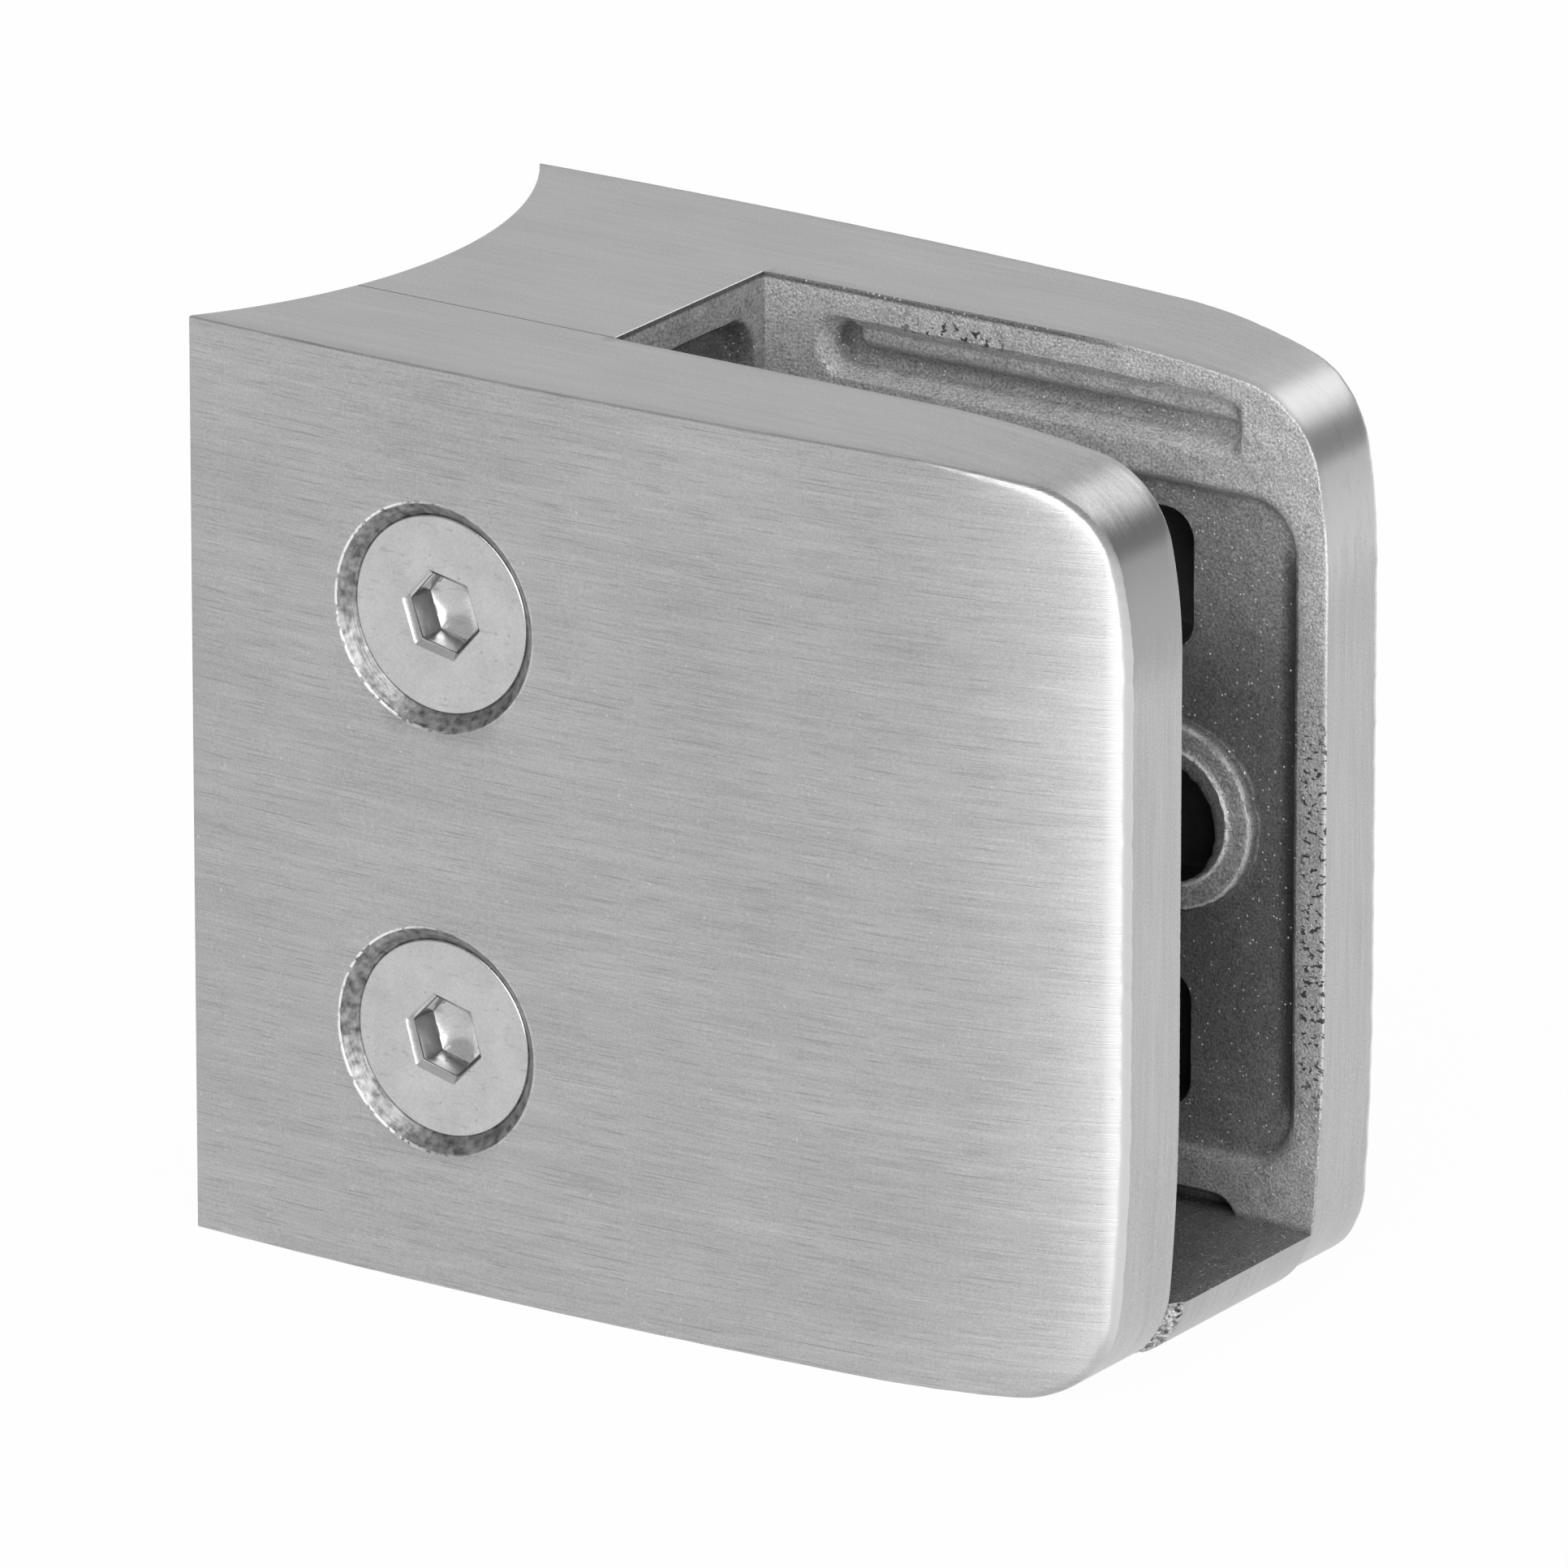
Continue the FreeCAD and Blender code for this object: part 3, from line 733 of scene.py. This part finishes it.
uneven = 0.25 * ripples(x, z, 2.0, 35) + 0.12 * ripples(x, z, 0.7, 36)
beyond = np.clip(BREAK_WIDTH + uneven - (y + SLOT_HALF), 0, None)
rough = 0.14 * ripples(y + x, z, 1.0, 33) + 0.07 * ripples(y - x, z, 0.45, 34)
cut_back = np.maximum(BREAK_SLOPE * beyond + rough * np.clip(beyond / 0.3, 0, 1), 0)
inwards = np.zeros_like(section)
inwards[len(top) : -1] = front_facing
inwards[:, 0] = np.where(full, np.maximum(inwards[:, 0], 0), 0)
inwards[:, 1] = np.where(full, np.minimum(inwards[:, 1], 0), 0)
ledge[..., [0, 2]] -= cut_back[..., None] * inwards
at_lip = np.clip((section[:, 0] - LIP_FROM) / (lip_x - LIP_FROM), 0, 1) ** 2
ledge[..., 0] -= 1.3 * np.clip((y - 7.45) / 0.4, 0, 1) * at_lip
ledge[..., 0] -= np.where(on_top, cut_back[:, [len(top) - 1]] * at_lip, 0)
ledge[..., 2] = np.clip(z, 0.0, None)
torn = (beyond > 0) & ~on_top & full
all_torn = torn[:-1, :-1] & torn[1:, :-1] & torn[:-1, 1:] & torn[1:, 1:]
plain = np.where(on_top[:-1] & on_top[1:], CAST_FINISH, RIM_FINISH)
ledge_shell = Shell()
ledge_shell.net(ledge, np.where(all_torn, BROKEN_FINISH, plain))
ledge_shell.polygon(ledge[0, :-1], BORED_FINISH)
ledge_shell.polygon(ledge[-1, :-1], BORED_FINISH)
ledge_piece = ledge_shell.piece("ledge", castings)


def turned(shell, profile, place, finish, ring=96, along_x=False, thread=None, drift=((0, 0, 0),)):
    """Adds a turned surface: (radius, depth) points swept round an axis along Y, or along X.

    place is the x, y and z of depth 0. thread gives what is added to the radius at a point, and
    drift how far the middle of each round is moved.
    """
    radius, depth = np.array(profile, float).T[..., None]
    angle = np.linspace(0, math.tau, ring + 1)
    angle[-1] = 0
    if thread is not None:
        radius = radius + thread(depth + place[1], angle, radius)
    across, up = radius * np.cos(angle), radius * np.sin(angle)
    along = depth + 0 * angle
    parts = (along, across, up) if along_x else (across, along, up)
    shell.net(np.stack(parts, -1) + place + np.array(drift)[:, None], finish)


THREAD_PITCH = 1.0
THREAD_RADIUS = 2.675


def thread_form(y, angle, radius):
    """Right-hand screw thread: a triangle wave of depth 0.87 mm along the helix, cut flat at the
    crest and the root, and fading out where the radius leaves the thread's own."""
    turn = (y / THREAD_PITCH + angle / math.tau) % 1
    wave = np.clip(0.433 * (1 - 4 * abs(turn - 0.5)), -0.29, 0.3)
    return wave * np.clip(1 - abs(radius - THREAD_RADIUS) / 0.12, 0, 1)


def loop_prism(shell, half_x, half_z, corner, rows, place, finish):
    """Adds a closed rounded-rectangle prism along Y. Its rows are (depth, how much wider) pairs; a
    row with None closes an end."""
    quarter = np.radians(np.linspace(0, 90, 9))
    signs = ((1, 1), (-1, 1), (-1, -1), (1, -1))
    angle = np.concatenate([quarter + k * math.pi / 2 for k in range(4)] + [quarter[:1]])
    sign = np.concatenate([np.repeat([s], 9, axis=0) for s in signs] + [[signs[0]]])
    loop_x = sign[:, 0] * (half_x - corner)
    loop_z = sign[:, 1] * (half_z - corner)
    net = []
    for depth, wider in rows:
        if wider is None:
            flat = np.zeros((len(angle), 2))
        else:
            flat = np.stack([np.cos(angle), np.sin(angle)], -1) * (corner + wider)
            flat += np.stack([loop_x, loop_z], -1)
        net.append(np.stack([flat[:, 0], np.full(len(angle), depth), flat[:, 1]], -1))
    shell.net(np.array(net) + place, finish)


def ragged(y, angle, radius):
    """Unevenness of a cast round: ripples of 0.05 mm along its way, none at the axis."""
    a, b = radius * np.cos(angle), radius * np.sin(angle)
    return 0.05 * ripples(a, b, 0.9, 41) * np.clip(radius - 2, 0, 1)


def boss(name, side):
    """Raised boss of the pin hole, with a burr round the hole."""
    profile = [(0, 1.6), (5.85, 1.6), (5.85, 1.12), (5.74, 1.06), (5.66, 0.96), (5.56, 0.4)]
    profile += [(5.52, 0.3), (5.42, 0.25), (4.9, 0.25), (4.35, 0.26), (4.24, 0.2), (4.18, 0.1)]
    profile += [(4.1, 0.06), (4.0, 0.1), (3.9, 0.3), (0, 0.3)]
    shell = Shell()
    profile = [(radius, side * depth) for radius, depth in profile]
    turned(shell, profile, (PIN_X, side * SLOT_HALF, PIN_HEIGHT), CAST_FINISH, ring=160, thread=ragged)
    return shell.piece(name, castings)


def add_jaw_holes(shell, side):
    """Blind pin hole and the two key holes of a jaw, as cutters with softened mouths.

    The pin's core sat askew: the hole's middle drifts down and back below its mouth.
    """
    def at(depth):
        return side * (SLOT_HALF + depth)

    radius = np.array([0, 3.5, 3.7, 3.7, 3.74, 3.84, 3.9, 3.92, 3.92, 0])
    depth = np.array([4.6, 4.6, 4.35, 0.86, 0.76, 0.56, 0.4, 0.28, -0.6, -0.6])
    drift = np.array([1, 1, 1, 1, 0.92, 0.55, 0.2, 0, 0, 0])[:, None] * (-0.85, 0, -0.75)
    finish = np.where(np.arange(9) < 4, DEEP_FINISH, CAST_FINISH)[:, None]
    profile = np.stack([radius, side * depth], -1)
    turned(shell, profile, (PIN_X, at(0), PIN_HEIGHT), finish, ring=160, thread=ragged, drift=drift)
    rows = [(4.7, None), (4.7, -0.35), (4.55, -0.12), (4.2, 0), (1.55, 0.02), (1.3, 0.1)]
    rows += [(1.15, 0.22), (1.0, 0.4), (0.3, 0.4), (0.3, None)]
    rows = [(side * depth, wider) for depth, wider in rows]
    for way_up in (-1, 1):
        place = (KEY_HOLE_X, at(0), MIDDLE + way_up * KEY_HOLE_RISE)
        loop_prism(shell, 2.6, 3.95, 1.6, rows, place, DEEP_FINISH)


def carve(piece, tool, operation):
    """Joins a piece with another or cuts it away by a Boolean, and removes the other."""
    cut = piece.modifiers.new(operation, "BOOLEAN")
    cut.operation = operation
    cut.solver = "MANIFOLD"
    cut.object = tool
    graph = bpy.context.evaluated_depsgraph_get()
    mesh = bpy.data.meshes.new_from_object(piece.evaluated_get(graph))
    piece.modifiers.clear()
    piece.data = mesh
    bpy.data.objects.remove(tool)


carve(body, ledge_piece, "UNION")
carve(body, boss("body_boss", 1), "UNION")
holes = Shell()
add_jaw_holes(holes, 1)
bolt = [(0, -4), (4.25, -4), (4.25, 20.3), (4.35, 20.6), (4.6, 20.85), (4.6, 22.0), (0, 22.0)]
turned(holes, bolt, (0, 0, MIDDLE), BORED_FINISH, along_x=True)
depths = np.arange(-1.0, 8.2, THREAD_PITCH / 10)
tapped = [(0, -1.0)] + [(THREAD_RADIUS + 0.04 + 0.4 * max(0, 0.35 - d), d) for d in depths] + [(0, 9.4)]
for height in SCREW_HEIGHTS:
    turned(holes, tapped, (SCREW_X, -SLOT_HALF, height), BORED_FINISH, ring=64, thread=thread_form)
carve(body, holes.piece("body_holes", castings), "DIFFERENCE")


def finished(piece, node, ride_on):
    """Gives a piece its sharp edges and its place in the frame."""
    piece.data.shade_smooth()
    piece.data.set_sharp_from_angle(angle=math.radians(36))
    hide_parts(node)
    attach(piece, ride_on)


finished(body, "base_body", "base")

# Cover. The near jaw is a casting of its own, brushed together with the body, and two countersunk
# screws hold it against the web. Its inner face is cored like the far jaw's.
outer = outer_sheet(-1, strip, grid, draw_in)
inner = inner_sheet(-1, strip, grid, 0.1, JOINT_ROUND)
cover_shell = Shell()
add_jaw_skin(cover_shell, outer, inner)
add_cheek(cover_shell, inner)
add_joint_face(cover_shell, inner)
cover = cover_shell.piece("cast_cover", castings, cupped=True)
carve(cover, boss("cover_boss", -1), "UNION")
holes = Shell()
add_jaw_holes(holes, -1)
face_y = -float(half_width(SCREW_X))
sink = [(0, -1.5), (7.2, -1.5), (6.95, -0.04), (6.82, 0.0), (6.72, 0.05), (6.62, 0.14)]
sink += [(6.7 - d, d) for d in np.linspace(0.25, 3.4, 16)]
sink += [(3.3, 11.2), (0, 11.2)]
for height in SCREW_HEIGHTS:
    turned(holes, sink, (SCREW_X, face_y, height), BORED_FINISH, ring=128)
carve(cover, holes.piece("cover_holes", castings), "DIFFERENCE")
finished(cover, "cover_plate", "cover")

# Screws. Two M6 countersunk socket screws of bright cold-headed steel with a rolled thread. Each
# head lies a little below the cover's face, and moves out a millimetre for each turn.
HEAD_RADIUS = 5.85
HEAD_SUNK = 0.2
SCREW_LENGTH = 16.0
SOCKET_DEPTH = 2.3
SOCKET_TURNS = (49.0, 46.0)
HEAD_FINISH, SHANK_FINISH = range(2)
HEAD_ROWS = 20


def screw_net(height, turn, face):
    """Whole screw as one net round its axis: socket tip, hexagon walls, head, cone, thread, end.

    The socket's radius at an angle is half its width over flats, divided by the cosine of the
    angle from the nearest flat; elsewhere the radius is the same all round. The rows are (depth,
    radius); in the end the depths shrink a little, so that a sunk head leaves the tip in place.
    """
    angle = math.radians(turn) + np.linspace(0, math.tau, 97)
    angle[-1] = angle[0]
    off_flat = (np.arange(97) % 16) * math.tau / 96 - math.pi / 6
    hexagon = 1 / np.cos(off_flat)
    circle = np.ones(97)

    def mixed(flats, share):
        return flats / 2 * (share * hexagon + (1 - share) * circle)

    rows = [
        (SOCKET_DEPTH + 0.7, mixed(0.0, 0)),
        (SOCKET_DEPTH + 0.15, mixed(3.1, 0)),
        (SOCKET_DEPTH + 0.03, mixed(3.7, 0.6)),
        (SOCKET_DEPTH - 0.06, mixed(3.92, 0.95)),
        (SOCKET_DEPTH - 0.2, mixed(4.0, 1)),
        (1.3, mixed(4.0, 1)),
        (0.5, mixed(4.0, 1)),
        (0.42, mixed(4.03, 1)),
        (0.34, mixed(4.12, 1)),
        (0.06, mixed(4.62, 1)),
        (0.015, mixed(4.72, 1)),
        (0.0, mixed(4.84, 1)),
        (0.0, mixed(5.6, 0.8)),
    ]
    rows += [(0.0, circle * r) for r in (3.9, 4.8, 5.5, 5.72)]
    rows += [(0.012, circle * 5.78), (0.04, circle * 5.825), (0.09, circle * HEAD_RADIUS)]
    rows += [(0.25, circle * HEAD_RADIUS), (0.32, circle * 5.8), (3.2, circle * 2.92)]
    rows += [(3.5, circle * THREAD_RADIUS)]
    rows += [(d, circle * THREAD_RADIUS) for d in np.arange(3.6, 15.3, THREAD_PITCH / 12)]
    rows += [(15.4, circle * 2.5), (15.9, circle * 2.0)]
    rows += [(SCREW_LENGTH, circle * 1.8), (SCREW_LENGTH, circle * 0)]
    shrink = 1 - HEAD_SUNK / SCREW_LENGTH
    depth = HEAD_SUNK + np.array([row[0] for row in rows])[:, None] * shrink
    radius = np.array([row[1] for row in rows])
    in_thread = (depth > 3.55) & (depth < 15.35)
    radius = radius + np.where(in_thread, thread_form(depth + face, angle, radius), 0)
    return np.stack([
        SCREW_X + radius * np.cos(angle),
        face + depth + 0 * angle,
        height + radius * np.sin(angle),
    ], -1)


def bright_head():
    """Bright screw head: fine grain, a dull haze, small dark pits and faint grey smears."""
    material, shader, place = new_steel("bright_screw")
    haze = place.noise((2.2, 2.2, 2.2), detail=4.0)
    pits = chosen_cells(place, 0.5, 0.9, 0.92, 0.06, 0.22)
    grain = place.noise((0.14, 0.14, 0.14), detail=1.0)
    smear = place.noise((1.1, 1.1, 0.3), detail=4.0, bend=0.5).ramp(0.6, 0.72)
    dress(shader, {
        "Base Color": (haze + (grain - 0.5) * 0.8 - pits * 1.2 - smear * 0.4).grey(0.43, 0.63),
        "Roughness": 0.14 + 0.12 * haze + 0.2 * pits,
        "Normal": (haze * 0.4 + grain * 0.15 - pits).bump(0.012),
    })
    return material


def rolled_thread():
    """Rolled thread and cone: satin, with fine rings round the axis."""
    material, shader, place = new_steel("rolled_thread")
    rings = place.noise((1.2, 0.1, 1.2), detail=3.0)
    dress(shader, {
        "Base Color": rings.grey(0.42, 0.66),
        "Roughness": 0.26 + 0.14 * rings,
        "Normal": rings.bump(0.008),
    })
    return material


screw_finishes = [bright_head(), rolled_thread()]
for name, height, turn in zip(("upper_screw", "lower_screw"), SCREW_HEIGHTS, SOCKET_TURNS):
    net = screw_net(height, turn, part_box(name)[0][1] * 1000)
    finish = np.where(np.arange(len(net) - 1) < HEAD_ROWS, HEAD_FINISH, SHANK_FINISH)
    shell = Shell()
    shell.net(net, finish[:, None])
    piece = shell.piece(name + "_turned", screw_finishes)
    finished(piece, name, name)

# Studio. A plain white table under soft boxes, and the camera of the photograph: a long lens from
# the front right, a little above.


def stage_floor():
    """White table: it keeps the shadow, and shows nearly white to the camera and in the steel."""
    bpy.ops.mesh.primitive_plane_add(size=6.0)
    floor = bpy.context.object
    floor.name = "table"
    material = bpy.data.materials.new("white_table")
    material.use_nodes = True
    tree = material.node_tree
    shader = tree.nodes["Principled BSDF"]
    shader.inputs["Roughness"].default_value = 0.9
    shader.inputs["Specular IOR Level"].default_value = 0.1
    coordinates = tree.nodes.new("ShaderNodeTexCoord")
    place = Value(tree, coordinates.outputs["Object"])
    dress(shader, {"Base Color": place.noise((60, 60, 60), detail=3.0).grey(0.78, 0.82)})
    path = tree.nodes.new("ShaderNodeLightPath")
    glossy = Value(tree, path.outputs["Is Glossy Ray"])
    seen = Value(tree, path.outputs["Is Camera Ray"]).math("MAXIMUM", glossy)
    glow = seen.node("ShaderNodeEmission", {}, {"Color": (1, 1, 1, 1), "Strength": 1.0})
    surface = Value(tree, shader.outputs["BSDF"])
    mixed = seen.node("ShaderNodeMixShader", {}, {0: seen * 0.97, 1: surface, 2: glow})
    tree.links.new(mixed.socket, tree.nodes["Material Output"].inputs["Surface"])
    floor.data.materials.append(material)


def soft_box(name, azimuth, elevation, distance, width, height, radiance):
    """Rectangular lamp that faces the clamp; its power follows from the radiance of its face."""
    lamp = bpy.data.lights.new(name, "AREA")
    lamp.shape = "RECTANGLE"
    lamp.size = width
    lamp.size_y = height
    lamp.energy = radiance * math.pi * width * height
    made = bpy.data.objects.new(name, lamp)
    a, e = math.radians(azimuth), math.radians(elevation)
    back = Vector((math.sin(a) * math.cos(e), -math.cos(a) * math.cos(e), math.sin(e)))
    made.location = Vector((0, 0, MIDDLE * 0.001)) + back * distance
    made.rotation_mode = "QUATERNION"
    made.rotation_quaternion = back.to_track_quat("Z", "Y")
    bpy.context.scene.collection.objects.link(made)


stage_floor()
soft_box("back_top", 163.0, 38.0, 0.5, 0.3, 0.2, 1.4)
soft_box("front_right", 26.0, 14.0, 0.65, 0.6, 0.4, 3.4)
soft_box("back_left", -146.0, 26.0, 0.6, 0.5, 0.35, 0.3)
soft_box("above_screws", 16.0, 50.0, 0.6, 0.26, 0.18, 4.5)

world = bpy.data.worlds.new("studio")
bpy.context.scene.world = world
world.use_nodes = True
background = world.node_tree.nodes["Background"]
path = world.node_tree.nodes.new("ShaderNodeLightPath")
seen = Value(world.node_tree, path.outputs["Is Camera Ray"])
coordinates = world.node_tree.nodes.new("ShaderNodeTexCoord")
outward = Value(world.node_tree, coordinates.outputs["Generated"])
sockets = {0: outward, 1: (0.57, 0.8, 0.17)}
dark_side = outward.node("ShaderNodeVectorMath", {"operation": "DOT_PRODUCT"}, sockets, 1)
unseen = (1 - seen) * (0.42 + 0.28 * dark_side.ramp(0.8, 0.97))
world.node_tree.links.new((1 - unseen).socket, background.inputs["Strength"])
background.inputs["Color"].default_value = (1, 1, 1, 1)

FOCAL_PIXELS = 25749
PHOTO_PIXELS = 1932
CAMERA_DISTANCE = 1.1906
AZIMUTH = math.radians(33.87)
ELEVATION = math.radians(19.02)
LEVEL = math.cos(ELEVATION)
BACK = Vector((math.sin(AZIMUTH) * LEVEL, -math.cos(AZIMUTH) * LEVEL, math.sin(ELEVATION)))
RIGHT = Vector((math.cos(AZIMUTH), math.sin(AZIMUTH), 0))
UP = BACK.cross(RIGHT)
aim = Vector((-0.0003, 0, 0.0275)) - RIGHT * 0.00098 + UP * 0.00017
lens = bpy.data.cameras.new("long_lens")
lens.sensor_width = 36.0
lens.lens = FOCAL_PIXELS / PHOTO_PIXELS * lens.sensor_width
lens.clip_start = 0.05
lens.clip_end = 20.0
camera = bpy.data.objects.new("camera", lens)
camera.location = aim + BACK * CAMERA_DISTANCE
camera.rotation_mode = "QUATERNION"
camera.rotation_quaternion = BACK.to_track_quat("Z", "Y")
bpy.context.scene.collection.objects.link(camera)
bpy.context.scene.camera = camera
bpy.context.scene.view_settings.view_transform = "Standard"

bpy.context.view_layer.update()
